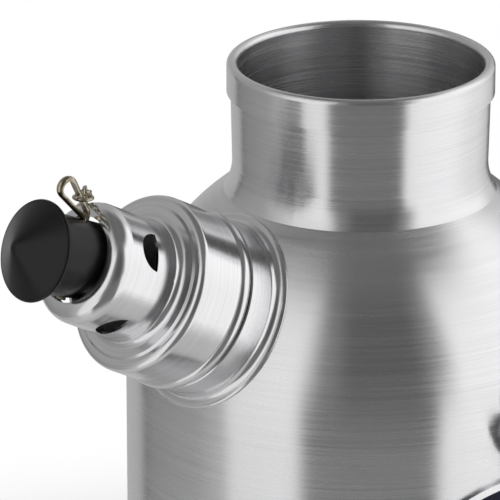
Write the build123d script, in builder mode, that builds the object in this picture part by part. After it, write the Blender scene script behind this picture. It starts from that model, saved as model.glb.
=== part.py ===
from build123d import *
from math import acos, asin, atan2, cos, degrees, floor, radians, sin, sqrt, tan
import os

# Storm kettle: a double-walled kettle with a chimney through the water jacket, standing on a
# separate fire base. Millimetres, +Z up. The origin is on the kettle's axis, on the ground.
# The spout points to -X, the badge faces -Y, the bail folds down to +X.

# Sheet, clearances and fits
shell_sheet = 1.0
flue_sheet = 0.9
base_sheet = 1.2
rest_gap = 0.3
fit_gap = 0.05
seat_gap = 0.03
press_gap = 0.02
edge_break = 0.3

# Fire base
base_depth = 46.0
ledge_width = 6.35
base_splay = 13.5
floor_rib_inset = 14.0
floor_rib_width = 4.0
floor_rib_height = 1.5
rib_fillet = 1.2
foot_fillet = 3.0
ledge_fillet = 1.6
collar_depth = 9.0
collar_gap = 0.9
rim_wire_radius = 1.2
rim_roll_turn = 250.0
air_hole_radius = 17.0
air_hole_height = 25.0

# Kettle body
body_radius = 64.5
wall_height = 108.8
seam_height = 6.0
seam_sheet = 0.8
jacket_fold = 1.2
neck_foot_radius = 37.5
neck_low_radius = 35.05
neck_top_radius = 35.65
neck_flare_height = 8.0
neck_height = 36.55
hem_depth = 8.7
flue_step = 6.85
flue_step_height = 5.0
flue_cone_start = 16.0
flue_cone_drop = 4.0
flue_weld_rise = 3.0
flue_foot_fillet = 3.0
flue_fillet = 6.0

# Spout: its axis leaves the dome's centre, and stations count along it from the dome's face
spout_elevation = 28.75
spout_tube_radius = 22.4
spout_tube_sheet = 1.0
spout_tip = 20.0
tube_tail_reach = 1.5
bead_station = 7.1
bead_height = 2.75
bead_half_width = 1.9
collar_wall = 2.0
collar_flange = 2.85
collar_top_station = 4.8
collar_fillet = 2.3
collar_rim_sheet = 0.9
collar_root = 2.0
backing_width = 3.55
backing_sheet = 1.2

# Whistle
cap_sheet = 0.8
seal_thickness = 1.23
seal_length = 7.0
seal_inset = 2.0
skirt_station = 9.3
shoulder_station = 23.7
shoulder_rounding = 2.0
shoulder_flat = 1.0
step_run = 0.7
step_rise = 0.5
barrel_land = 1.9
barrel_fillet = 2.2
lip_station = 47.1
lip_depth = 5.0
lip_inset = 1.2
lip_shoulder = 1.6
lip_width = 4.8
slot_count = 4
slot_first_angle = 54.0
slot_station = 32.7
slot_rise = 5.8
slot_half_length = 5.4
reed_sheet = 0.8
reed_station = 27.1
reed_spacing = 2.6
reed_spacer_wall = 1.2
reed_hole_radius = 1.6
bridge_station = 37.9
bridge_width = 7.0
bridge_sheet = 1.4
bridge_hole_play = 0.5

# Knob: it rocks a little on its screw, droops and lies a little low in the mouth
knob_station = 61.5
knob_sag = 1.7
knob_droop = 7.5
knob_radius = 13.7
knob_face_rise = 7.0
knob_tip_radius = 1.9
knob_tip_drop = 0.5
knob_edge = 1.55
knob_edge_round = 0.7
knob_undercut = 1.3
stem_radius = 11.1
stem_foot_radius = 10.3
stem_length = 20.4
knob_screw_depth = 4.9
knob_screw_radius = 2.0
screw_head_radius = 3.6
screw_head_height = 2.2
washer_radius = 5.0
washer_sheet = 0.8

# Split pin through the stem, its eye bent forward
pin_station = -13.7
pin_wire_radius = 1.2
pin_gap = 0.1
pin_tail = 0.3
pin_bend_height = 11.9
pin_bend_spread = 0.5
pin_bend_fillet = 1.6
pin_lean = 55.0
eye_length = 13.7
eye_half_width = 2.3
eye_fillet = 1.9
jump_ring_radius = 2.5
jump_ring_wire = 0.45
jump_ring_place = 6.0
jump_ring_shift = 0.15
jump_ring_turn = 37.0
jump_ring_chain_turn = 50.0

# Chain
link_wire = 0.45
link_inner_width = 1.8
link_inner_length = 3.9
link_slack = 0.45
chain_route = [
    (-91.4, 4.1, 226.0),
    (-89.4, 6.4, 225.1),
    (-87.2, 9.2, 223.0),
    (-85.4, 12.5, 219.6),
    (-84.0, 16.8, 213.6),
    (-82.3, 23.2, 203.2),
    (-79.5, 28.5, 194.0),
    (-73.5, 33.7, 185.2),
    (-65.5, 39.7, 177.0),
    (-56.0, 47.0, 169.0),
    (-46.0, 54.8, 160.8),
    (-37.2, 61.1, 154.0),
    (-30.6, 64.7, 149.6),
]

# Chain tab on the wall
tab_azimuth = 105.0
tab_width = 7.0
tab_height = 11.0
tab_sheet = 1.2
tab_reach = 6.4
tab_hole_radius = 1.7
tab_hole_edge = 2.4
end_ring_radius = 3.3
end_ring_wire = 0.5
end_ring_turn = 20.0
tab_rivet_radius = 1.4
tab_rivet_rise = 2.4
rivet_head_width = 0.9
rivet_head_height = 1.0

# Bail and its lugs
lug_width = 6.0
lug_foot = 6.0
lug_end_round = 2.0
lug_bridge = 11.0
lug_sheet = 1.5
lug_standoff = 5.2
lug_rivet_radius = 1.5
lug_rivet_shift = 0.5
bail_wire_radius = 2.0
bail_length = 112.0
bail_head_radius = 3.4
bail_head_height = 1.2
bail_bend_radius = 4.5
bail_shoulder_radius = 20.0
bail_washer_radius = 4.2
bail_washer_sheet = 1.0
grip_radius = 9.0
grip_end_radius = 7.0
grip_end_round = 1.5
grip_length = 86.0
grip_collar_radius = 4.6
grip_collar_length = 5.0

# Badge
badge_half_width = 28.6
badge_half_height = 20.0
badge_top = 143.4
badge_sheet = 1.2
badge_back = 0.5
badge_border = 2.2
badge_recess = 0.4

# Fire base sizes that follow from the kettle's
collar_radius = body_radius + fit_gap + seam_sheet + collar_gap
collar_middle = collar_radius + base_sheet / 2
base_top_radius = collar_middle - ledge_width
foot_radius = base_top_radius - base_splay
floor_rib_radius = foot_radius - floor_rib_inset

# Radii of spout and whistle, each from the one inside or outside it
collar_bore = spout_tube_radius + fit_gap
collar_neck_radius = collar_bore + collar_wall
collar_rim_radius = collar_neck_radius + collar_flange
backing_radius = collar_bore + backing_width
seal_inner = spout_tube_radius + fit_gap
cap_bore = seal_inner + seal_thickness + press_gap
skirt_radius = cap_bore + cap_sheet
step_radius = skirt_radius - shoulder_rounding - shoulder_flat
barrel_radius = step_radius - step_run - barrel_land - barrel_fillet
mouth_radius = barrel_radius - lip_width

# Heights that follow from the sizes above
cut_reach = 2 * body_radius
ledge_height = base_depth
kettle_foot = ledge_height + base_sheet + rest_gap
dome_height = kettle_foot + wall_height
crease_height = dome_height + sqrt(body_radius**2 - neck_foot_radius**2)
rim_height = crease_height + neck_height
lug_height = dome_height
tab_middle = dome_height - 4.0
dome_angle = degrees(acos(neck_foot_radius / body_radius))
neck_start = crease_height + neck_flare_height

# Directions and planes of the spout and of the knob
dome_centre = Vector(0, 0, dome_height)
spout_direction = Vector(-cos(radians(spout_elevation)), 0, sin(radians(spout_elevation)))
spout_up = Vector(sin(radians(spout_elevation)), 0, cos(radians(spout_elevation)))
spout_root = dome_centre + spout_direction * body_radius
spout_axis = Axis(spout_root, spout_direction)
spout_section = Plane(origin=spout_root, x_dir=spout_up, z_dir=(0, -1, 0))
spout_face = Plane(origin=spout_root, x_dir=spout_up, z_dir=spout_direction)

knob_elevation = spout_elevation - knob_droop
knob_centre = spout_root + spout_direction * knob_station - spout_up * knob_sag
knob_direction = Vector(-cos(radians(knob_elevation)), 0, sin(radians(knob_elevation)))
knob_up = Vector(sin(radians(knob_elevation)), 0, cos(radians(knob_elevation)))
knob_axis = Axis(knob_centre, knob_direction)
knob_section = Plane(origin=knob_centre, x_dir=knob_up, z_dir=(0, -1, 0))
knob_face = Plane(origin=knob_centre, x_dir=knob_up, z_dir=knob_direction)


def wall_plane(azimuth, height):
    """Plane on the kettle's axis whose normal points outwards at an azimuth from +X."""
    angle = radians(azimuth)
    return Plane(origin=(0, 0, height), x_dir=(-sin(angle), cos(angle), 0), z_dir=(cos(angle), sin(angle), 0))


def body_form(extra):
    """Solid of the kettle's wall, dome and neck, larger by extra, to cut seats with."""
    radius = body_radius + extra
    crease = (radius * cos(radians(dome_angle)), dome_height + radius * sin(radians(dome_angle)))
    with BuildPart() as form:
        with BuildSketch(Plane.XZ):
            with BuildLine():
                Polyline((0, rim_height), (0, kettle_foot), (radius, kettle_foot), (radius, dome_height))
                CenterArc((0, dome_height), radius, 0, dome_angle)
                TangentArc((neck_low_radius + extra, neck_start), crease, tangent=(0, -1))
                Polyline((neck_low_radius + extra, neck_start), (neck_low_radius + extra, rim_height), (0, rim_height))
            make_face()
        revolve(axis=Axis.Z)
    return form.part


def dome_plane(azimuth, elevation):
    """Plane at the dome's centre whose normal points outwards and up at an elevation."""
    angle = radians(azimuth)
    rise = radians(elevation)
    outward = (cos(angle) * cos(rise), sin(angle) * cos(rise), sin(rise))
    return Plane(origin=(0, 0, dome_height), x_dir=(-sin(angle), cos(angle), 0), z_dir=outward)


def radial_plane(azimuth, height):
    """Upright plane through the kettle's axis: local x is the radius, local y is height."""
    angle = radians(azimuth)
    return Plane(origin=(0, 0, height), x_dir=(cos(angle), sin(angle), 0), z_dir=(sin(angle), -cos(angle), 0))


def write_part(part, name):
    part.label = name
    export_step(part, f"parts/{name}.step")


os.makedirs("parts", exist_ok=True)
seat_form = body_form(seat_gap)

# Fire base bowl: floor, sloping wall, ledge and collar, with the edge rolled round a wire
rolled_radius = rim_wire_radius + fit_gap + base_sheet / 2
collar_top = ledge_height + base_sheet + collar_depth
floor_middle = base_sheet / 2
rib_inner = floor_rib_radius - floor_rib_width / 2
rib_outer = floor_rib_radius + floor_rib_width / 2
rib_slope = floor_rib_height
with BuildPart() as fire_base_bowl:
    with BuildSketch(Plane.XZ):
        with BuildLine():
            FilletPolyline(
                (0, floor_middle),
                (rib_inner - rib_slope, floor_middle),
                (rib_inner, floor_middle + floor_rib_height),
                (rib_outer, floor_middle + floor_rib_height),
                (rib_outer + rib_slope, floor_middle),
                (foot_radius, floor_middle),
                (base_top_radius, ledge_height + floor_middle),
                (collar_middle, ledge_height + floor_middle),
                (collar_middle, collar_top),
                radius=[rib_fillet] * 4 + [foot_fillet, ledge_fillet, ledge_fillet],
            )
            CenterArc((collar_middle + rolled_radius, collar_top), rolled_radius, 180, -rim_roll_turn)
        trace(line_width=base_sheet)
    revolve(axis=Axis.Z)
    with BuildSketch(wall_plane(-90, air_hole_height)):
        Circle(air_hole_radius)
    extrude(amount=cut_reach, mode=Mode.SUBTRACT)
write_part(fire_base_bowl.part, "fire_base_bowl")

with BuildPart() as base_rim_wire:
    with BuildSketch(Plane.XZ):
        with Locations((collar_middle + rolled_radius, collar_top)):
            Circle(rim_wire_radius)
    revolve(axis=Axis.Z)
write_part(base_rim_wire.part, "base_rim_wire")

# Outer shell: wall, dome and neck, with the holes for the spout and the rivets
flue_top_middle = neck_top_radius - shell_sheet - fit_gap - flue_sheet / 2
hem_middle = neck_top_radius + fit_gap + flue_sheet / 2
hem_turn = (hem_middle - flue_top_middle) / 2
neck_end = rim_height - flue_sheet / 2 - hem_turn
rivet_offset = lug_bridge / 2 + lug_foot / 2 + lug_rivet_shift
rivet_elevation = degrees(asin(rivet_offset / body_radius))
tab_rivet_height = tab_middle + tab_rivet_rise


def lug_rivet_planes(side):
    return [wall_plane(side, lug_height - rivet_offset), dome_plane(side, rivet_elevation)]


with BuildPart() as outer_shell:
    with BuildSketch(Plane.XZ):
        with BuildLine():
            Line((body_radius, kettle_foot + seam_sheet + fit_gap), (body_radius, dome_height))
            CenterArc((0, dome_height), body_radius, 0, dome_angle)
            TangentArc((neck_low_radius, neck_start), (neck_foot_radius, crease_height), tangent=(0, -1))
            Line((neck_low_radius, neck_start), (neck_top_radius, neck_end))
            offset(amount=shell_sheet, side=Side.LEFT)
        make_face()
    revolve(axis=Axis.Z)
    with BuildSketch(spout_face):
        Circle(collar_bore)
    extrude(amount=body_radius / 2, both=True, mode=Mode.SUBTRACT)
    for plane in lug_rivet_planes(-90) + lug_rivet_planes(90):
        with BuildSketch(plane):
            Circle(lug_rivet_radius + seat_gap)
        extrude(amount=cut_reach, mode=Mode.SUBTRACT)
    with BuildSketch(wall_plane(tab_azimuth, tab_rivet_height)):
        Circle(tab_rivet_radius + seat_gap)
    extrude(amount=cut_reach, mode=Mode.SUBTRACT)
write_part(outer_shell.part, "outer_shell")

# Flue: a skirt inside the wall, welded to a cone that ends in a hem turned over the neck
skirt_outer = body_radius - shell_sheet - jacket_fold
flue_middle = skirt_outer - flue_sheet / 2
flue_base_radius = flue_middle - flue_step
flue_low_middle = neck_low_radius - shell_sheet - rest_gap - flue_sheet / 2
flue_foot = kettle_foot + seam_sheet + fit_gap
with BuildPart() as flue_sheets:
    with BuildSketch(Plane.XZ):
        with BuildLine():
            FilletPolyline(
                (flue_middle, flue_foot),
                (flue_middle, flue_foot + flue_cone_start - flue_step_height),
                (flue_base_radius, flue_foot + flue_cone_start),
                (flue_low_middle, crease_height - flue_cone_drop),
                (flue_low_middle, neck_start),
                (flue_top_middle, neck_end),
                radius=[flue_foot_fillet, flue_fillet, flue_fillet, flue_fillet],
            )
            CenterArc((flue_top_middle + hem_turn, neck_end), hem_turn, 180, -180)
            Line((hem_middle, neck_end), (hem_middle, rim_height - hem_depth))
        trace(line_width=flue_sheet)
    revolve(axis=Axis.Z)
weld_plane = Plane.XY.offset(flue_foot + flue_cone_start + flue_weld_rise)
write_part(split(flue_sheets.part, bisect_by=weld_plane, keep=Keep.TOP), "flue")
write_part(split(flue_sheets.part, bisect_by=weld_plane, keep=Keep.BOTTOM), "flue_skirt")

# Seam ring: a channel crimped over the lower edges of shell and flue
with BuildPart() as bottom_seam_ring:
    with BuildSketch(Plane.XZ):
        ring_outer = body_radius + fit_gap + seam_sheet
        ring_inner = skirt_outer - flue_sheet - fit_gap - seam_sheet
        with Locations(((ring_outer + ring_inner) / 2, kettle_foot + seam_height / 2)):
            Rectangle(ring_outer - ring_inner, seam_height)
        slot_outer = body_radius + fit_gap
        slot_inner = skirt_outer - flue_sheet - fit_gap
        with Locations(((slot_outer + slot_inner) / 2, kettle_foot + seam_sheet + seam_height / 2)):
            Rectangle(slot_outer - slot_inner, seam_height, mode=Mode.SUBTRACT)
    revolve(axis=Axis.Z)
    foot_edges = bottom_seam_ring.edges().group_by(Axis.Z)[0]
    fillet(foot_edges, seam_sheet * 0.9)
write_part(bottom_seam_ring.part, "bottom_seam_ring")

# Spout tube with its stop bead, and the swaged end inside the dome
tube_inner = spout_tube_radius - spout_tube_sheet
tail_edge = sqrt((body_radius - shell_sheet) ** 2 - (spout_tube_radius + backing_sheet) ** 2) - body_radius
tube_tail = tail_edge - backing_sheet - tube_tail_reach
with BuildPart() as spout_tube:
    with BuildSketch(spout_section):
        with BuildLine():
            Polyline(
                (tube_inner, tube_tail),
                (tube_inner, spout_tip),
                (spout_tube_radius - edge_break, spout_tip),
                (spout_tube_radius, spout_tip - edge_break),
                (spout_tube_radius, bead_station + bead_half_width),
            )
            ThreePointArc(
                (spout_tube_radius, bead_station + bead_half_width),
                (spout_tube_radius + bead_height, bead_station),
                (spout_tube_radius, bead_station - bead_half_width),
            )
            Polyline(
                (spout_tube_radius, bead_station - bead_half_width),
                (spout_tube_radius, tube_tail),
                (tube_inner, tube_tail),
            )
        make_face()
    revolve(axis=spout_axis)
write_part(spout_tube.part, "spout_tube")

# Spout collar: a flared ring seated on the dome
rim_station = sqrt(body_radius**2 - collar_rim_radius**2) - body_radius
collar_foot = rim_station - collar_root
with BuildPart() as spout_collar:
    with BuildSketch(spout_section):
        with BuildLine():
            Polyline(
                (collar_bore, collar_foot),
                (collar_bore, collar_top_station),
                (collar_neck_radius - edge_break, collar_top_station),
                (collar_neck_radius, collar_top_station - edge_break),
                (collar_neck_radius, rim_station + collar_rim_sheet + collar_fillet),
            )
            ThreePointArc(
                (collar_neck_radius, rim_station + collar_rim_sheet + collar_fillet),
                (
                    collar_neck_radius + collar_fillet * (1 - cos(radians(45))),
                    rim_station + collar_rim_sheet + collar_fillet * (1 - sin(radians(45))),
                ),
                (collar_neck_radius + collar_fillet, rim_station + collar_rim_sheet),
            )
            Polyline(
                (collar_neck_radius + collar_fillet, rim_station + collar_rim_sheet),
                (collar_rim_radius - edge_break, rim_station + collar_rim_sheet),
                (collar_rim_radius, rim_station + collar_rim_sheet - edge_break),
                (collar_rim_radius, collar_foot),
                (collar_bore, collar_foot),
            )
        make_face()
    revolve(axis=spout_axis)
    add(seat_form, mode=Mode.SUBTRACT)
write_part(spout_collar.part, "spout_collar")

# Backing ring: pressed on the tube inside the dome
backing_station = sqrt((body_radius - shell_sheet) ** 2 - backing_radius**2) - fit_gap - body_radius
with BuildPart() as spout_backing_ring:
    with BuildSketch(spout_section):
        with Locations(((collar_bore + backing_radius) / 2, backing_station - backing_sheet / 2)):
            Rectangle(backing_radius - collar_bore, backing_sheet)
    revolve(axis=spout_axis)
write_part(spout_backing_ring.part, "spout_backing_ring")

# Whistle cap: one spun sheet, skirt, rounded shoulder with a step, barrel and turned-in lip
barrel_foot = shoulder_station + step_rise + barrel_fillet
lip_turn = lip_station - lip_shoulder
with BuildPart() as whistle_cap:
    with BuildSketch(spout_section):
        with BuildLine():
            Line((skirt_radius, skirt_station), (skirt_radius, shoulder_station - shoulder_rounding))
            CenterArc(
                (skirt_radius - shoulder_rounding, shoulder_station - shoulder_rounding), shoulder_rounding, 0, 90
            )
            Polyline(
                (skirt_radius - shoulder_rounding, shoulder_station),
                (step_radius, shoulder_station),
                (step_radius - step_run, shoulder_station + step_rise),
                (barrel_radius + barrel_fillet, shoulder_station + step_rise),
            )
            CenterArc((barrel_radius + barrel_fillet, barrel_foot), barrel_fillet, 270, -90)
            Line((barrel_radius, barrel_foot), (barrel_radius, lip_station - lip_depth))
            TangentArc((barrel_radius, lip_station - lip_depth), (barrel_radius - lip_inset, lip_turn), tangent=(0, 1))
            TangentArc((mouth_radius, lip_station), (barrel_radius - lip_inset, lip_turn), tangent=(1, 0))
            offset(amount=cap_sheet, side=Side.LEFT)
        make_face()
    revolve(axis=spout_axis)
    for number in range(slot_count):
        turn = radians(slot_first_angle + number * 360 / slot_count)
        outward = spout_up * cos(turn) + Vector(0, -1, 0) * sin(turn)
        slot_plane = Plane(
            origin=spout_root + spout_direction * slot_station,
            x_dir=spout_direction.cross(outward),
            z_dir=outward,
        )
        with BuildSketch(slot_plane.offset(mouth_radius)):
            with BuildLine():
                Line((-slot_half_length, 0), (slot_half_length, 0))
                EllipticalCenterArc((0, 0), slot_half_length, slot_rise, 0, arc_size=180)
            make_face()
        extrude(amount=barrel_radius, mode=Mode.SUBTRACT)
write_part(whistle_cap.part, "whistle_cap")

# Silicone ring that lines the skirt and grips the spout tube
with BuildPart() as whistle_seal:
    with BuildSketch(spout_section):
        with Locations((seal_inner + seal_thickness / 2, skirt_station + seal_inset + seal_length / 2)):
            Rectangle(seal_thickness, seal_length)
    revolve(axis=spout_axis)
write_part(whistle_seal.part, "whistle_seal")

# Reed plates: two pierced discs with a spacer ring between them, inside the barrel
reed_radius = barrel_radius - cap_sheet - press_gap
front_reed_station = reed_station + reed_sheet + reed_spacing


def reed_plate(station):
    with BuildPart() as plate:
        with BuildSketch(spout_face.offset(station)):
            Circle(reed_radius)
            Circle(reed_hole_radius, mode=Mode.SUBTRACT)
        extrude(amount=reed_sheet)
    return plate.part


write_part(reed_plate(reed_station), "rear_reed_plate")
write_part(reed_plate(front_reed_station), "front_reed_plate")

with BuildPart() as reed_spacer:
    with BuildSketch(spout_face.offset(reed_station + reed_sheet)):
        Circle(reed_radius)
        Circle(reed_radius - reed_spacer_wall, mode=Mode.SUBTRACT)
    extrude(amount=reed_spacing)
write_part(reed_spacer.part, "reed_spacer")

# Bridge: a strap across the barrel with an oversize hole, so that the knob can rock
bridge_hole_rise = (knob_station - bridge_station - bridge_sheet / 2) * tan(radians(knob_droop)) - knob_sag
with BuildPart() as knob_bridge:
    with BuildSketch(spout_face.offset(bridge_station)):
        Circle(reed_radius)
        Rectangle(2 * reed_radius, bridge_width, mode=Mode.INTERSECT)
        with Locations((bridge_hole_rise, 0)):
            Circle(knob_screw_radius + bridge_hole_play, mode=Mode.SUBTRACT)
    extrude(amount=bridge_sheet)
write_part(knob_bridge.part, "knob_bridge")

# Knob: cone face, rounded edge, undercut and tapered stem, bored for the screw and the pin
stem_foot = -stem_length
with BuildPart() as whistle_knob:
    with BuildSketch(knob_section):
        with BuildLine():
            Polyline(
                (0, stem_foot),
                (stem_foot_radius, stem_foot),
                (stem_radius, -knob_edge - knob_undercut),
                (knob_radius - knob_edge_round, -knob_edge),
            )
            ThreePointArc(
                (knob_radius - knob_edge_round, -knob_edge),
                (knob_radius, -knob_edge / 2),
                (knob_radius - knob_edge_round, 0),
            )
            Line((knob_radius - knob_edge_round, 0), (knob_tip_radius, knob_face_rise - knob_tip_drop))
            TangentArc((0, knob_face_rise), (knob_tip_radius, knob_face_rise - knob_tip_drop), tangent=(1, 0))
            Line((0, knob_face_rise), (0, stem_foot))
        make_face()
    revolve(axis=knob_axis)
    with BuildSketch(knob_face.offset(stem_foot)):
        Circle(knob_screw_radius + seat_gap)
    extrude(amount=knob_screw_depth, mode=Mode.SUBTRACT)
    with BuildSketch(Plane(origin=knob_centre + knob_direction * pin_station, x_dir=knob_direction, z_dir=knob_up)):
        Circle(pin_wire_radius + pin_gap)
    extrude(amount=knob_radius, both=True, mode=Mode.SUBTRACT)
write_part(whistle_knob.part, "whistle_knob")

# Washer and screw behind the bridge, in line with the knob
washer_rise = washer_radius * sin(radians(knob_droop))
washer_face = (bridge_station - rest_gap - washer_rise - knob_station) / cos(radians(knob_droop))
with BuildPart() as knob_washer:
    with BuildSketch(knob_face.offset(washer_face - washer_sheet)):
        Circle(washer_radius)
        Circle(knob_screw_radius + fit_gap, mode=Mode.SUBTRACT)
    extrude(amount=washer_sheet)
write_part(knob_washer.part, "knob_washer")

with BuildPart() as knob_screw:
    with BuildSketch(knob_face.offset(washer_face - washer_sheet - screw_head_height)):
        Circle(screw_head_radius)
    extrude(amount=screw_head_height)
    fillet(knob_screw.edges().sort_by(knob_axis)[0], 0.6)
    with BuildSketch(knob_face.offset(washer_face - washer_sheet)):
        Circle(knob_screw_radius)
    extrude(amount=stem_foot + knob_screw_depth - rest_gap - washer_face + washer_sheet)
write_part(knob_screw.part, "knob_screw")

# Split pin: half-round wire, legs side by side in the stem, eye bent forward over the knob
lean = radians(pin_lean)
pin_bend = Vector(pin_bend_height, pin_station)
eye_along = Vector(cos(lean), sin(lean))
eye_across = Vector(sin(lean), -cos(lean))
leg_side = pin_gap / 2
eye_end = eye_length - pin_wire_radius
front_corner = pin_bend + eye_along * eye_end - eye_across * eye_half_width
rear_corner = pin_bend + eye_along * eye_end + eye_across * eye_half_width
leg_end = -stem_radius - pin_tail
with BuildPart() as split_pin:
    with BuildLine(knob_section) as pin_path:
        FilletPolyline(
            (leg_end, pin_station + leg_side),
            (pin_bend_height - pin_bend_spread, pin_station + leg_side),
            (front_corner.X, front_corner.Y),
            (rear_corner.X, rear_corner.Y),
            (pin_bend_height + pin_bend_spread, pin_station - leg_side),
            (leg_end, pin_station - leg_side),
            radius=[pin_bend_fillet, eye_fillet, eye_fillet, pin_bend_fillet],
        )
    with BuildSketch(Plane(origin=pin_path.line @ 0, x_dir=knob_direction, z_dir=knob_up)):
        with BuildLine():
            CenterArc((0, 0), pin_wire_radius, -90, 180)
            Line((0, pin_wire_radius), (0, -pin_wire_radius))
        make_face()
    sweep(path=pin_path.line)
write_part(split_pin.part, "split_pin")

# Jump ring round the rear limb of the eye, hanging back from it
ring_turn = radians(jump_ring_turn)
eye_axis = knob_up * cos(lean) + knob_direction * sin(lean)
eye_side = knob_up * sin(lean) - knob_direction * cos(lean)
ring_fall = eye_side * cos(ring_turn) - eye_axis * sin(ring_turn)
jump_normal = eye_axis * cos(ring_turn) + eye_side * sin(ring_turn)
pin_bend_point = knob_centre + knob_up * pin_bend_height + knob_direction * pin_station
ring_inside = pin_bend_point + eye_axis * jump_ring_place + eye_side * jump_ring_shift
jump_centre = ring_inside + ring_fall * jump_ring_radius
with BuildPart() as whistle_jump_ring:
    with Locations(Plane(origin=jump_centre, z_dir=jump_normal)):
        Torus(jump_ring_radius, jump_ring_wire)
write_part(whistle_jump_ring.part, "whistle_jump_ring")

# Chain tab: an angle bracket riveted on the wall, its ear pierced for the end ring
ear_radius = body_radius + tab_reach
ear_height = tab_middle - tab_height / 2 + tab_sheet / 2
tab_plane = wall_plane(tab_azimuth, ear_height)
tab_axis = Axis((0, 0, ear_height), tab_plane.z_dir)
tab_hole = tab_plane.origin + tab_plane.z_dir * (ear_radius - tab_hole_edge)
with BuildPart() as chain_tab:
    with BuildSketch(radial_plane(tab_azimuth, tab_middle)):
        with BuildLine():
            FilletPolyline(
                (body_radius + tab_sheet / 2, tab_height / 2),
                (body_radius + tab_sheet / 2, -tab_height / 2 + tab_sheet / 2),
                (ear_radius, -tab_height / 2 + tab_sheet / 2),
                radius=tab_sheet,
            )
        trace(line_width=tab_sheet)
    extrude(amount=tab_width / 2, both=True)
    fillet(chain_tab.edges().filter_by(Axis.Z).sort_by(tab_axis)[-2:], tab_hole_edge)
    with BuildSketch(wall_plane(tab_azimuth, tab_rivet_height)):
        Circle(tab_rivet_radius + seat_gap)
    extrude(amount=ear_radius, mode=Mode.SUBTRACT)
    with BuildSketch(Plane(origin=tab_hole)):
        Circle(tab_hole_radius)
    extrude(amount=tab_sheet, both=True, mode=Mode.SUBTRACT)
    add(seat_form, mode=Mode.SUBTRACT)
write_part(chain_tab.part, "chain_tab")

# Ring in the ear of the tab, drawn aside by the chain
ring_shift = end_ring_radius + end_ring_wire
ring_plane = wall_plane(tab_azimuth - end_ring_turn, ear_height)
end_ring_centre = tab_hole + ring_plane.x_dir * ring_shift
with BuildPart() as chain_end_ring:
    with Locations(Plane(origin=end_ring_centre, z_dir=ring_plane.z_dir)):
        Torus(end_ring_radius, end_ring_wire)
write_part(chain_end_ring.part, "chain_end_ring")

# Chain: loose links between the two rings, each turned a quarter from the one before
chain_turn = radians(jump_ring_chain_turn)
chain_start = jump_centre + (ring_fall * cos(chain_turn) + Vector(0, sin(chain_turn), 0)) * jump_ring_radius
chain_end = tab_hole + ring_plane.x_dir * (ring_shift + end_ring_radius)
with BuildLine():
    chain_line = Spline([chain_start] + [Vector(*point) for point in chain_route] + [chain_end])
link_pitch = link_inner_length - link_slack
first_link = link_inner_length / 2 - jump_ring_wire - link_slack / 2
last_link = link_inner_length / 2 - end_ring_wire - link_slack / 2
chain_length = chain_line.length
chain_run = chain_length - first_link - last_link
link_count = 2 * floor(chain_run / link_pitch / 2 + 1)
link_places = []
for number in range(link_count):
    share = (first_link + chain_run * number / (link_count - 1)) / chain_length
    along = (chain_line % share).normalized()
    side = Vector(0, 0, 1).cross(along).normalized()
    above = along.cross(side)
    normal = side if number % 2 == 0 else above
    link_places.append(Plane(origin=chain_line @ share, x_dir=along, z_dir=normal))

bend = link_inner_width / 2 + link_wire
straight = link_inner_length / 2 + link_wire - bend
with BuildPart() as link:
    with BuildLine() as link_path:
        Line((-straight, -bend), (straight, -bend))
        CenterArc((straight, 0), bend, -90, 180)
        Line((straight, bend), (-straight, bend))
        CenterArc((-straight, 0), bend, 90, 180)
    with BuildSketch(Plane(origin=(-straight, -bend, 0), z_dir=(1, 0, 0))):
        Circle(link_wire)
    sweep(path=link_path.line)
with BuildPart() as chain:
    with Locations(*link_places):
        add(link.part)
write_part(chain.part, "chain")


def rivets(planes, radius, grip):
    """Rivets along each plane's normal, through the shell and a piece of thickness grip."""
    inner_face = body_radius - shell_sheet - 2 * fit_gap
    outer_face = body_radius + grip + fit_gap
    head_radius = radius + rivet_head_width
    with BuildPart() as group:
        for plane in planes:
            section = Plane(origin=plane.origin, x_dir=plane.x_dir, z_dir=plane.x_dir.cross(plane.z_dir))
            with BuildSketch(section):
                with BuildLine():
                    Polyline(
                        (0, outer_face + rivet_head_height),
                        (0, inner_face - rivet_head_height),
                        (head_radius, inner_face - rivet_head_height),
                        (head_radius, inner_face),
                        (radius, inner_face),
                        (radius, outer_face),
                        (head_radius, outer_face),
                    )
                    TangentArc((0, outer_face + rivet_head_height), (head_radius, outer_face), tangent=(1, 0))
                make_face()
            revolve(axis=Axis(plane.origin, plane.z_dir))
    return group.part


write_part(rivets([wall_plane(tab_azimuth, tab_rivet_height)], tab_rivet_radius, tab_sheet), "chain_tab_rivet")

# Bridge lugs for the bail, each with two rivets
bridge_middle = body_radius + lug_standoff + lug_sheet / 2
foot_middle = body_radius + lug_sheet / 2


def bail_lug(side):
    with BuildPart() as lug:
        with BuildSketch(radial_plane(side, lug_height)):
            upper = []
            for height in (lug_bridge / 2 + lug_foot, lug_bridge / 2):
                turn = asin(height / body_radius)
                upper.append((foot_middle * cos(turn), foot_middle * sin(turn)))
            with BuildLine():
                FilletPolyline(
                    *upper,
                    (bridge_middle, lug_bridge / 2 - lug_sheet),
                    (bridge_middle, -lug_bridge / 2 + lug_sheet),
                    (foot_middle, -lug_bridge / 2),
                    (foot_middle, -lug_bridge / 2 - lug_foot),
                    radius=lug_sheet,
                )
            trace(line_width=lug_sheet)
        extrude(amount=lug_width / 2, both=True)
        lug_ends = lug.edges().filter_by(lambda edge: edge.length < lug_sheet * 1.1).sort_by(Axis.Z)
        fillet([lug_ends[0], lug_ends[1], lug_ends[-2], lug_ends[-1]], lug_end_round)
        for plane in lug_rivet_planes(side):
            with BuildSketch(plane):
                Circle(lug_rivet_radius + seat_gap)
            extrude(amount=cut_reach, mode=Mode.SUBTRACT)
        with BuildSketch(wall_plane(side, lug_height)):
            Circle(bail_wire_radius + fit_gap)
        extrude(amount=cut_reach, mode=Mode.SUBTRACT)
        add(seat_form, mode=Mode.SUBTRACT)
    return lug.part


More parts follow.
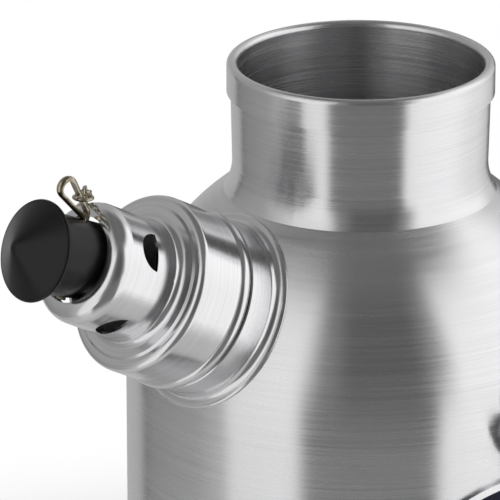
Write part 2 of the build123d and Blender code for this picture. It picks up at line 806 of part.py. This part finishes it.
write_part(bail_lug(-90), "near_bail_lug")
write_part(bail_lug(90), "far_bail_lug")
write_part(rivets(lug_rivet_planes(-90), lug_rivet_radius, lug_sheet), "near_lug_rivets")
write_part(rivets(lug_rivet_planes(90), lug_rivet_radius, lug_sheet), "far_lug_rivets")

# Bail: bent wire with upset heads behind the lugs, folded down until the grip meets the wall or,
# if the bail is long, the rolled edge of the fire base
wall_drop = acos((body_radius + grip_radius + rest_gap) / bail_length)
roll_run = collar_middle + rolled_radius
roll_fall = lug_height - collar_top
roll_distance = sqrt(roll_run**2 + roll_fall**2)
roll_contact = grip_radius + rolled_radius + base_sheet / 2 + rest_gap
contact_cosine = (bail_length**2 + roll_distance**2 - roll_contact**2) / (2 * bail_length * roll_distance)
roll_drop = atan2(roll_fall, roll_run) - acos(min(1, contact_cosine))
bail_drop = min(wall_drop, roll_drop)
bail_direction = Vector(cos(bail_drop), 0, -sin(bail_drop))
bail_plane = Plane(origin=(0, 0, lug_height), x_dir=bail_direction, z_dir=bail_direction.cross(Vector(0, 1, 0)))
head_inner = body_radius + lug_standoff - rest_gap - bail_head_height
washer_inner = body_radius + lug_standoff + lug_sheet + rest_gap
leg_offset = washer_inner + bail_washer_sheet + bail_bend_radius
with BuildPart() as bail_wire:
    with BuildLine(bail_plane) as bail_path:
        FilletPolyline(
            (0, -head_inner),
            (0, -leg_offset),
            (bail_length, -leg_offset),
            (bail_length, leg_offset),
            (0, leg_offset),
            (0, head_inner),
            radius=[bail_bend_radius, bail_shoulder_radius, bail_shoulder_radius, bail_bend_radius],
        )
    with BuildSketch(wall_plane(-90, lug_height).offset(head_inner)):
        Circle(bail_wire_radius)
    sweep(path=bail_path.line)
    for side in (-90, 90):
        with BuildSketch(wall_plane(side, lug_height).offset(head_inner)):
            Circle(bail_head_radius)
        extrude(amount=bail_head_height)
write_part(bail_wire.part, "bail_wire")

with BuildPart() as bail_washers:
    for side in (-90, 90):
        with BuildSketch(wall_plane(side, lug_height).offset(washer_inner)):
            Circle(bail_washer_radius)
            Circle(bail_wire_radius + fit_gap, mode=Mode.SUBTRACT)
        extrude(amount=bail_washer_sheet)
write_part(bail_washers.part, "bail_washers")

# Grip: turned wood with a swell in the middle, free on the wire, a collar at each end
grip_centre = bail_plane.origin + bail_direction * bail_length
grip_axis = Axis(grip_centre, (0, 1, 0))
grip_section = Plane(origin=grip_centre, x_dir=bail_direction, z_dir=bail_direction.cross(Vector(0, 1, 0)))
grip_end = grip_length / 2
end_flat = grip_end_radius - grip_end_round
swell_end = grip_end - grip_end_round
with BuildPart() as bail_grip:
    with BuildSketch(grip_section):
        with BuildLine():
            Line((bail_wire_radius + fit_gap, -grip_end), (end_flat, -grip_end))
            CenterArc((end_flat, -swell_end), grip_end_round, -90, 90)
            ThreePointArc((grip_end_radius, -swell_end), (grip_radius, 0), (grip_end_radius, swell_end))
            CenterArc((end_flat, swell_end), grip_end_round, 0, 90)
            Polyline(
                (end_flat, grip_end),
                (bail_wire_radius + fit_gap, grip_end),
                (bail_wire_radius + fit_gap, -grip_end),
            )
        make_face()
    revolve(axis=grip_axis)
write_part(bail_grip.part, "bail_grip")

with BuildPart() as grip_collars:
    for side in (-1, 1):
        collar_middle_offset = side * (grip_end + rest_gap + grip_collar_length / 2)
        with BuildSketch(Plane(origin=grip_centre + Vector(0, collar_middle_offset, 0), z_dir=(0, 1, 0))):
            Circle(grip_collar_radius)
            Circle(bail_wire_radius + fit_gap, mode=Mode.SUBTRACT)
        extrude(amount=grip_collar_length / 2, both=True)
write_part(grip_collars.part, "grip_collars")

# Badge: an oval tray that follows the wall, with a recessed field
badge_middle = badge_top - badge_half_height


def badge_piece(inset, inner, outer):
    """Oval cut from a shell round the wall, between two distances from the wall."""
    with BuildPart() as piece:
        with BuildSketch(Plane.XY.offset(badge_middle - 2 * badge_half_height)):
            Circle(body_radius + outer)
            Circle(body_radius + inner, mode=Mode.SUBTRACT)
        extrude(amount=4 * badge_half_height)
        with BuildSketch(wall_plane(-90, badge_middle)):
            Ellipse(badge_half_width - inset, badge_half_height - inset)
        extrude(amount=cut_reach, mode=Mode.INTERSECT)
    return piece.part


field_outer = badge_sheet - badge_recess
with BuildPart() as badge_frame:
    add(badge_piece(0, seat_gap, badge_sheet))
    add(badge_piece(badge_border, badge_back, badge_sheet + 1), mode=Mode.SUBTRACT)
    fillet(badge_frame.edges().sort_by(Axis((0, 0, badge_middle), (0, -1, 0)))[-1], 0.2)
write_part(badge_frame.part, "badge_frame")
write_part(badge_piece(badge_border + fit_gap, badge_back + fit_gap, field_outer), "badge_inlay")
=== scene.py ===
import bpy
import bmesh
import math
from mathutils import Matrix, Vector


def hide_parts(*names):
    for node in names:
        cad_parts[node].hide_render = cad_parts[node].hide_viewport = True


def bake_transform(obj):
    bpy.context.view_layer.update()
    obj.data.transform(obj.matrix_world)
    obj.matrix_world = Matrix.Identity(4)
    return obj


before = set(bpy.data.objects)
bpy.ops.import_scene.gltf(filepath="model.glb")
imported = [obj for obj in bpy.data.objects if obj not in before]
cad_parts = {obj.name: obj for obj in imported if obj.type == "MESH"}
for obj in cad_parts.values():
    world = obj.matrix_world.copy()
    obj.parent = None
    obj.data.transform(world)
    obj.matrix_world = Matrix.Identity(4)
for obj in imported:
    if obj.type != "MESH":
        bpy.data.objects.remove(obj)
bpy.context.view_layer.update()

# Storm kettle in metres, spout towards -X, badge towards -Y, +Z up

scene = bpy.context.scene
kettleFoot = Vector((0.0, 0.0, 0.0))
kettleAxis = Vector((0.0, 0.0, 1.0))
domeCentre = Vector((0.0, 0.0, 0.1563))
spoutTilt = math.radians(28.75)
spoutAxis = Vector((-math.cos(spoutTilt), 0.0, math.sin(spoutTilt)))

scene.view_settings.view_transform = "Standard"


# Camera

cameraSettings = {
    "place": (-0.8722, -1.0348, 0.6831),
    "turn": -38.85,      # degrees about Z
    "pitch": 20.02,      # degrees down
    "lens": 376.5,       # mm
    "sensor": 36.0,      # mm
    "nearest": 0.05,
}


def addCamera(s):
    cam = bpy.data.objects.new("camera", bpy.data.cameras.new("camera"))
    scene.collection.objects.link(cam)
    cam.data.lens = s["lens"]
    cam.data.sensor_width = s["sensor"]
    cam.data.clip_start = s["nearest"]
    cam.location = s["place"]
    cam.rotation_euler = (math.radians(90 - s["pitch"]), 0.0, math.radians(s["turn"]))
    scene.camera = cam


addCamera(cameraSettings)
print("camera ready")


# Surroundings: plain soft light for matt surfaces, pale and dark panels for metal to mirror

surroundings = {
    "matt": 0.42,        # brightness of the plain light
    "backdrop": 1.0,     # what the camera sees behind the kettle
    # panels as (angle, grey), in degrees from the camera towards the right of the picture
    "lowPanels": [
        (-180, 0.50), (-137, 0.48), (-131, 0.10), (-126, 0.28),
        (-90, 0.34), (-72, 0.48), (-65, 0.90), (-34, 0.95),
        (-25, 0.19), (34, 0.19), (43, 1.05), (84, 1.1),
        (120, 0.90), (150, 0.66), (159, 0.12), (172, 0.16),
    ],
    "highPanels": [
        (-180, 0.42), (-120, 0.36), (-96, 0.40), (-76, 0.70),
        (-58, 0.95), (-33, 1.0), (-18, 0.24), (-4, 0.11),
        (28, 0.11), (40, 0.26), (54, 1.1), (118, 1.2),
        (142, 0.70), (180, 0.42),
    ],
    "overhead": 0.17,            # grey straight above
    "horizon": (-0.12, 0.22),    # low panels give way to high ones between these heights of the view
    "ceiling": (0.68, 0.90),     # and high ones to the overhead grey
}


def addWorld(s, turn):
    world = bpy.data.worlds.new("studio")
    world.use_nodes = True
    scene.world = world
    n = world.node_tree.nodes
    link = world.node_tree.links.new
    n.clear()
    coord = n.new("ShaderNodeTexCoord")
    spin = n.new("ShaderNodeMapping")
    spin.inputs["Rotation"].default_value = (0, 0, math.radians(90 - turn))
    radial = n.new("ShaderNodeTexGradient")
    radial.gradient_type = "RADIAL"
    height = n.new("ShaderNodeSeparateXYZ")
    link(coord.outputs["Generated"], spin.inputs["Vector"])
    link(spin.outputs["Vector"], radial.inputs["Vector"])
    link(coord.outputs["Generated"], height.inputs[0])

    def panelRing(panels):
        ramp = n.new("ShaderNodeValToRGB")
        ramp.color_ramp.interpolation = "EASE"
        stops = ramp.color_ramp.elements
        stops.remove(stops[-1])
        for i, (angle, grey) in enumerate(panels):
            along = angle / 360 + 0.5    # the ramp goes once round, with the camera in its middle
            stop = stops[0] if i == 0 else stops.new(along)
            stop.position = along
            stop.color = (grey, grey, grey, 1)
        link(radial.outputs["Fac"], ramp.inputs["Fac"])
        return ramp.outputs["Color"]

    def mixByHeight(heights, below):
        fade = n.new("ShaderNodeMapRange")
        fade.interpolation_type = "SMOOTHSTEP"
        fade.inputs["From Min"].default_value = heights[0]
        fade.inputs["From Max"].default_value = heights[1]
        link(height.outputs["Z"], fade.inputs["Value"])
        mix = n.new("ShaderNodeMix")
        mix.data_type = "RGBA"
        link(fade.outputs["Result"], mix.inputs["Factor"])
        link(below, mix.inputs["A"])
        return mix

    def backgroundLight(strength):
        light = n.new("ShaderNodeBackground")
        light.inputs["Color"].default_value = (1, 1, 1, 1)
        light.inputs["Strength"].default_value = strength
        return light

    def mixByRay(ray, others, own):
        mix = n.new("ShaderNodeMixShader")
        link(path.outputs[ray], mix.inputs["Fac"])
        link(others.outputs[0], mix.inputs[1])
        link(own.outputs[0], mix.inputs[2])
        return mix

    sides = mixByHeight(s["horizon"], panelRing(s["lowPanels"]))
    link(panelRing(s["highPanels"]), sides.inputs["B"])
    dome = mixByHeight(s["ceiling"], sides.outputs["Result"])
    dome.inputs["B"].default_value = (s["overhead"], s["overhead"], s["overhead"], 1)
    mirrored = backgroundLight(1.0)
    link(dome.outputs["Result"], mirrored.inputs["Color"])
    path = n.new("ShaderNodeLightPath")
    onObject = mixByRay("Is Glossy Ray", backgroundLight(s["matt"]), mirrored)
    everything = mixByRay("Is Camera Ray", onObject, backgroundLight(s["backdrop"]))
    out = n.new("ShaderNodeOutputWorld")
    link(everything.outputs[0], out.inputs["Surface"])


addWorld(surroundings, cameraSettings["turn"])
print("surroundings ready")


# Lamps, which light the matt surfaces and make the soft shadow

lamps = {
    "keyLamp": {"place": (-1.1, -0.5, 1.5), "size": 0.9, "power": 9.0},
    "fillLamp": {"place": (1.2, -1.3, 1.1), "size": 1.0, "power": 6.0},
}
lampTarget = Vector((0, 0, 0.12))


def addLamp(name, s):
    lamp = bpy.data.objects.new(name, bpy.data.lights.new(name, "AREA"))
    scene.collection.objects.link(lamp)
    lamp.data.shape = "SQUARE"
    lamp.data.size = s["size"]
    lamp.data.energy = s["power"]
    lamp.location = s["place"]
    lamp.rotation_euler = (lampTarget - Vector(s["place"])).to_track_quat("-Z", "Y").to_euler()
    lamp.visible_glossy = False


for name, s in lamps.items():
    addLamp(name, s)
print("lamps ready")


# Shading that the finishes share

def newMaterial(name):
    mat = bpy.data.materials.new(name)
    mat.use_nodes = True
    tree = mat.node_tree
    return mat, tree.nodes, tree.links.new, tree.nodes["Principled BSDF"]


def addNoise(n, link, vector, scale, detail):
    noise = n.new("ShaderNodeTexNoise")
    noise.inputs["Scale"].default_value = scale
    noise.inputs["Detail"].default_value = detail
    link(vector, noise.inputs["Vector"])
    return noise


def addStretch(n, link, vector, scale):
    stretch = n.new("ShaderNodeVectorMath")
    stretch.operation = "MULTIPLY"
    stretch.inputs[1].default_value = scale
    link(vector, stretch.inputs[0])
    return stretch.outputs[0]


def addTone(n, link, grain, s):
    tone = n.new("ShaderNodeValToRGB")
    for stop, place, colour in zip(tone.color_ramp.elements, s["toneEdges"], (s["dark"], s["light"])):
        stop.position = place
        stop.color = (*colour, 1)
    link(grain, tone.inputs["Fac"])
    return tone.outputs["Color"]


def addRoughness(n, link, bsdf, grain, s):
    rough = n.new("ShaderNodeMapRange")
    rough.inputs["From Min"].default_value = s["roughEdges"][0]
    rough.inputs["From Max"].default_value = s["roughEdges"][1]
    rough.inputs["To Min"].default_value = s["roughness"][0]
    rough.inputs["To Max"].default_value = s["roughness"][1]
    link(grain, rough.inputs["Value"])
    link(rough.outputs["Result"], bsdf.inputs["Roughness"])


def addBump(n, link, bsdf, grain, s):
    bump = n.new("ShaderNodeBump")
    bump.inputs["Strength"].default_value = s["bump"]
    bump.inputs["Distance"].default_value = s["bumpDepth"]
    link(grain, bump.inputs["Height"])
    link(bump.outputs["Normal"], bsdf.inputs["Normal"])


# Floor, which fades into the backdrop

floorSettings = {
    "radius": 1.4,
    "sides": 96,
    "colour": (0.86, 0.86, 0.86),
    "roughness": 0.8,
    "fade": (0.16, 0.34),    # solid within the first radius, gone past the second
}


def floorPaint(s):
    mat, n, link, bsdf = newMaterial("paleFloor")
    bsdf.inputs["Base Color"].default_value = (*s["colour"], 1)
    bsdf.inputs["Roughness"].default_value = s["roughness"]
    coord = n.new("ShaderNodeTexCoord")
    length = n.new("ShaderNodeVectorMath")
    length.operation = "LENGTH"
    fade = n.new("ShaderNodeMapRange")
    fade.interpolation_type = "SMOOTHSTEP"
    fade.inputs["From Min"].default_value = s["fade"][0]
    fade.inputs["From Max"].default_value = s["fade"][1]
    clear = n.new("ShaderNodeBsdfTransparent")
    mix = n.new("ShaderNodeMixShader")
    link(coord.outputs["Object"], length.inputs[0])
    link(length.outputs["Value"], fade.inputs["Value"])
    link(fade.outputs["Result"], mix.inputs["Fac"])
    link(bsdf.outputs[0], mix.inputs[1])
    link(clear.outputs[0], mix.inputs[2])
    link(mix.outputs[0], n["Material Output"].inputs["Surface"])
    return mat


def addFloor(s):
    mesh = bpy.data.meshes.new("floor")
    bm = bmesh.new()
    bmesh.ops.create_circle(bm, cap_ends=True, segments=s["sides"], radius=s["radius"])
    bm.to_mesh(mesh)
    bm.free()
    floor = bpy.data.objects.new("floor", mesh)
    scene.collection.objects.link(floor)
    mesh.materials.append(floorPaint(s))


addFloor(floorSettings)
print("floor ready")


# Sheet that was spun and rubbed round an axis: streaks run round it

bodyFinish = {
    # streaks per metre, along the rubbing and across it
    "fine": (26.0, 3600.0), "fineDetail": 3.0,
    "broad": (9.0, 1100.0), "broadDetail": 2.0,
    "broadShare": 0.45, "raggedness": 0.6,
    "dark": (0.70, 0.70, 0.71), "light": (0.84, 0.84, 0.85), "toneEdges": (0.3, 0.7),
    "roughness": (0.19, 0.31), "roughEdges": (0.3, 0.7),
    "bump": 0.24, "bumpDepth": 0.00005,
    "anisotropic": 0.9, "brushTurn": 0.25,    # a quarter turn lays the gloss across the streaks
}
# the flue's finish adds painted shade: its inner face is greyed up to a radius, for the shade inside
# the tube
flueFinish = dict(bodyFinish, paintedShade=(0.42, 0.42, 0.43), paintedShadeRadius=0.0326, paintedShadeEdge=0.0005)
polishedFinish = dict(
    bodyFinish, fine=(40.0, 3600.0), broad=(16.0, 1200.0), broadShare=0.5,
    roughness=(0.10, 0.19), bump=0.12, bumpDepth=0.00004, anisotropic=0.45,
)
panFinish = dict(bodyFinish, dark=(0.60, 0.60, 0.61), light=(0.80, 0.80, 0.81), roughness=(0.28, 0.44))


# painted shade: a flat grey is multiplied into the inner face of the flue, up to its radius, for the
# shade inside the tube
def paintShadeInside(n, link, colour, radius, s):
    # smoke greys the inner face, up to its radius
    inside = n.new("ShaderNodeMapRange")
    inside.inputs["From Min"].default_value = s["paintedShadeRadius"]
    inside.inputs["From Max"].default_value = s["paintedShadeRadius"] + s["paintedShadeEdge"]
    inside.inputs["To Min"].default_value = 1.0
    inside.inputs["To Max"].default_value = 0.0
    link(radius, inside.inputs["Value"])
    paintedShade = n.new("ShaderNodeMix")
    paintedShade.data_type = "RGBA"
    paintedShade.blend_type = "MULTIPLY"
    paintedShade.inputs["B"].default_value = (*s["paintedShade"], 1)
    link(inside.outputs["Result"], paintedShade.inputs["Factor"])
    link(colour, paintedShade.inputs["A"])
    return paintedShade.outputs["Result"]


def brushRound(n, link, bsdf, place, centre, axis, s):
    # the tangent runs round the axis
    back = n.new("ShaderNodeVectorMath")
    back.operation = "SUBTRACT"
    back.inputs[1].default_value = centre
    cross = n.new("ShaderNodeVectorMath")
    cross.operation = "CROSS_PRODUCT"
    cross.inputs[1].default_value = axis
    link(place, back.inputs[0])
    link(back.outputs[0], cross.inputs[0])
    link(cross.outputs[0], bsdf.inputs["Tangent"])
    bsdf.inputs["Anisotropic"].default_value = s["anisotropic"]
    bsdf.inputs["Anisotropic Rotation"].default_value = s["brushTurn"]


def turnedMetal(name, s, centre, axis):
    mat, n, link, bsdf = newMaterial(name)
    coord = n.new("ShaderNodeTexCoord")
    mapping = n.new("ShaderNodeMapping")
    mapping.vector_type = "TEXTURE"
    mapping.inputs["Location"].default_value = centre
    mapping.inputs["Rotation"].default_value = axis.to_track_quat("Z", "Y").to_euler()
    link(coord.outputs["Object"], mapping.inputs["Vector"])
    part = n.new("ShaderNodeSeparateXYZ")
    link(mapping.outputs["Vector"], part.inputs[0])
    flat = n.new("ShaderNodeCombineXYZ")
    radius = n.new("ShaderNodeVectorMath")
    radius.operation = "LENGTH"
    across = n.new("ShaderNodeMath")    # goes up walls and out over flat faces
    across.operation = "ADD"
    line = n.new("ShaderNodeCombineXYZ")
    for side in "XY":
        link(part.outputs[side], flat.inputs[side])
        link(part.outputs[side], line.inputs[side])
    link(flat.outputs[0], radius.inputs[0])
    link(part.outputs["Z"], across.inputs[0])
    link(radius.outputs["Value"], across.inputs[1])
    link(across.outputs[0], line.inputs["Z"])

    def streaks(along, acrossLine, detail):
        vector = addStretch(n, link, line.outputs[0], (along, along, acrossLine))
        noise = addNoise(n, link, vector, 1.0, detail)
        noise.inputs["Roughness"].default_value = s["raggedness"]
        return noise.outputs["Fac"]

    both = n.new("ShaderNodeMix")
    both.data_type = "FLOAT"
    both.inputs["Factor"].default_value = s["broadShare"]
    link(streaks(*s["fine"], s["fineDetail"]), both.inputs["A"])
    link(streaks(*s["broad"], s["broadDetail"]), both.inputs["B"])
    grain = both.outputs["Result"]
    colour = addTone(n, link, grain, s)
    # painted shade on the inner face of the flue
    if "paintedShade" in s:
        colour = paintShadeInside(n, link, colour, radius.outputs["Value"], s)
    link(colour, bsdf.inputs["Base Color"])
    bsdf.inputs["Metallic"].default_value = 1.0
    addRoughness(n, link, bsdf, grain, s)
    addBump(n, link, bsdf, grain, s)
    brushRound(n, link, bsdf, coord.outputs["Object"], centre, axis, s)
    return mat


bodySheet = turnedMetal("brushedAluminium", bodyFinish, kettleFoot, kettleAxis)
flueSheet = turnedMetal("flueWithPaintedShade", flueFinish, kettleFoot, kettleAxis)
spoutSheet = turnedMetal("polishedAluminium", polishedFinish, domeCentre, spoutAxis)
panSheet = turnedMetal("panAluminium", panFinish, kettleFoot, kettleAxis)
print("sheet metal mixed")


# Small parts: moulded plastic, enamel, rubber and drawn or stamped metal, all with a fine grain

smallFinishes = {
    "blackKnobPlastic": {
        "grain": 900.0, "detail": 4.0,
        "dark": (0.003, 0.003, 0.0035), "light": (0.008, 0.008, 0.009), "toneEdges": (0.0, 1.0),
        "roughness": (0.20, 0.30), "gloss": 0.30, "bump": 0.2, "bumpDepth": 0.00004, "metallic": 0.0,
    },
    "navyEnamel": {
        "grain": 300.0, "detail": 4.0,
        "dark": (0.003, 0.005, 0.020), "light": (0.005, 0.009, 0.032), "toneEdges": (0.0, 1.0),
        "roughness": (0.16, 0.24), "gloss": 0.15, "bump": 0.2, "bumpDepth": 0.00004, "metallic": 0.0,
    },
    "siliconeRubber": {
        "grain": 400.0, "detail": 5.0,
        "dark": (0.42, 0.42, 0.40), "light": (0.50, 0.50, 0.48), "toneEdges": (0.35, 0.65),
        "roughness": (0.5, 0.65), "gloss": 0.5, "bump": 0.1, "bumpDepth": 0.00005, "metallic": 0.0,
    },
    "drawnSteel": {
        "grain": 700.0, "detail": 5.0,
        "dark": (0.52, 0.52, 0.53), "light": (0.68, 0.68, 0.69), "toneEdges": (0.35, 0.65),
        "roughness": (0.22, 0.36), "gloss": 0.5, "bump": 0.15, "bumpDepth": 0.00005, "metallic": 1.0,
    },
    "nickelledWire": {
        "grain": 500.0, "detail": 5.0,
        "dark": (0.30, 0.26, 0.18), "light": (0.58, 0.53, 0.41), "toneEdges": (0.35, 0.65),
        "roughness": (0.14, 0.28), "gloss": 0.5, "bump": 0.12, "bumpDepth": 0.00005, "metallic": 1.0,
    },
    # painted shade: the reed plates get a dark grey for the shade in the hollow of the whistle cap,
    # darker than their aluminium
    "reedAluminiumPaintedShade": {
        "grain": 600.0, "detail": 5.0,
        "dark": (0.20, 0.20, 0.20), "light": (0.34, 0.34, 0.35), "toneEdges": (0.35, 0.65),
        "roughness": (0.3, 0.45), "gloss": 0.5, "bump": 0.15, "bumpDepth": 0.00005, "metallic": 1.0,
    },
}


def grainedSurface(name, s):
    mat, n, link, bsdf = newMaterial(name)
    coord = n.new("ShaderNodeTexCoord")
    grain = addNoise(n, link, coord.outputs["Object"], s["grain"], s["detail"]).outputs["Fac"]
    link(addTone(n, link, grain, s), bsdf.inputs["Base Color"])
    addRoughness(n, link, bsdf, grain, dict(s, roughEdges=(0.0, 1.0)))
    addBump(n, link, bsdf, grain, s)
    bsdf.inputs["Metallic"].default_value = s["metallic"]
    bsdf.inputs["Specular IOR Level"].default_value = s["gloss"]
    return mat


smallStock = {name: grainedSurface(name, s) for name, s in smallFinishes.items()}
knobPlastic = smallStock["blackKnobPlastic"]
badgeEnamel = smallStock["navyEnamel"]
sealSilicone = smallStock["siliconeRubber"]
steelWire = smallStock["drawnSteel"]
pinWire = smallStock["nickelledWire"]
reedPaintedShadeSheet = smallStock["reedAluminiumPaintedShade"]
print("small finishes mixed")


# Oiled wood, with the grain along the grip

woodFinish = {
    "stretch": (420.0, 26.0, 420.0), "detail": 6.0, "waviness": 0.6,
    "dark": (0.26, 0.13, 0.055), "light": (0.50, 0.29, 0.13), "toneEdges": (0.32, 0.68),
    "roughness": 0.45, "bump": 0.3, "bumpDepth": 0.0001,
}


def turnedWood(name, s):
    mat, n, link, bsdf = newMaterial(name)
    coord = n.new("ShaderNodeTexCoord")
    vector = addStretch(n, link, coord.outputs["Object"], s["stretch"])
    noise = addNoise(n, link, vector, 1.0, s["detail"])
    noise.inputs["Distortion"].default_value = s["waviness"]
    grain = noise.outputs["Fac"]
    link(addTone(n, link, grain, s), bsdf.inputs["Base Color"])
    addBump(n, link, bsdf, grain, s)
    bsdf.inputs["Roughness"].default_value = s["roughness"]
    return mat


gripWood = turnedWood("oiledWood", woodFinish)
print("wood mixed")


# Which piece gets which finish

finishes = {
    "fire_base_bowl": panSheet, "base_rim_wire": steelWire,
    "outer_shell": bodySheet, "flue": flueSheet, "flue_skirt": panSheet, "bottom_seam_ring": bodySheet,
    "spout_tube": spoutSheet, "spout_collar": spoutSheet, "spout_backing_ring": spoutSheet,
    "whistle_cap": spoutSheet, "knob_bridge": spoutSheet, "whistle_seal": sealSilicone,
    "rear_reed_plate": reedPaintedShadeSheet, "reed_spacer": reedPaintedShadeSheet, "front_reed_plate": reedPaintedShadeSheet,
    "whistle_knob": knobPlastic, "knob_screw": steelWire, "knob_washer": steelWire,
    "split_pin": pinWire, "whistle_jump_ring": pinWire, "chain_end_ring": pinWire,
    "chain_tab": steelWire, "chain_tab_rivet": steelWire,
    "near_bail_lug": steelWire, "far_bail_lug": steelWire,
    "near_lug_rivets": steelWire, "far_lug_rivets": steelWire,
    "bail_wire": steelWire, "bail_washers": steelWire, "grip_collars": steelWire,
    "bail_grip": gripWood,
    "badge_frame": spoutSheet, "badge_inlay": badgeEnamel,
}


def finishNode(name, mat):
    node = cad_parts[name]
    if node.material_slots:
        for slot in node.material_slots:
            slot.material = mat
    else:
        node.data.materials.append(mat)


for name, mat in finishes.items():
    finishNode(name, mat)
print("finishes on", len(finishes), "pieces")


# Safety chain between the kettle and the whistle: a copy of the CAD chain with the wire finish, the
# CAD chain hidden


def addChain(mat):
    links = bpy.data.objects.new("safetyChain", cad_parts["chain"].data.copy())
    scene.collection.objects.link(links)
    links.data.materials.clear()
    links.data.materials.append(mat)
    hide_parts("chain")
    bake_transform(links)


addChain(pinWire)
print("chain hung")
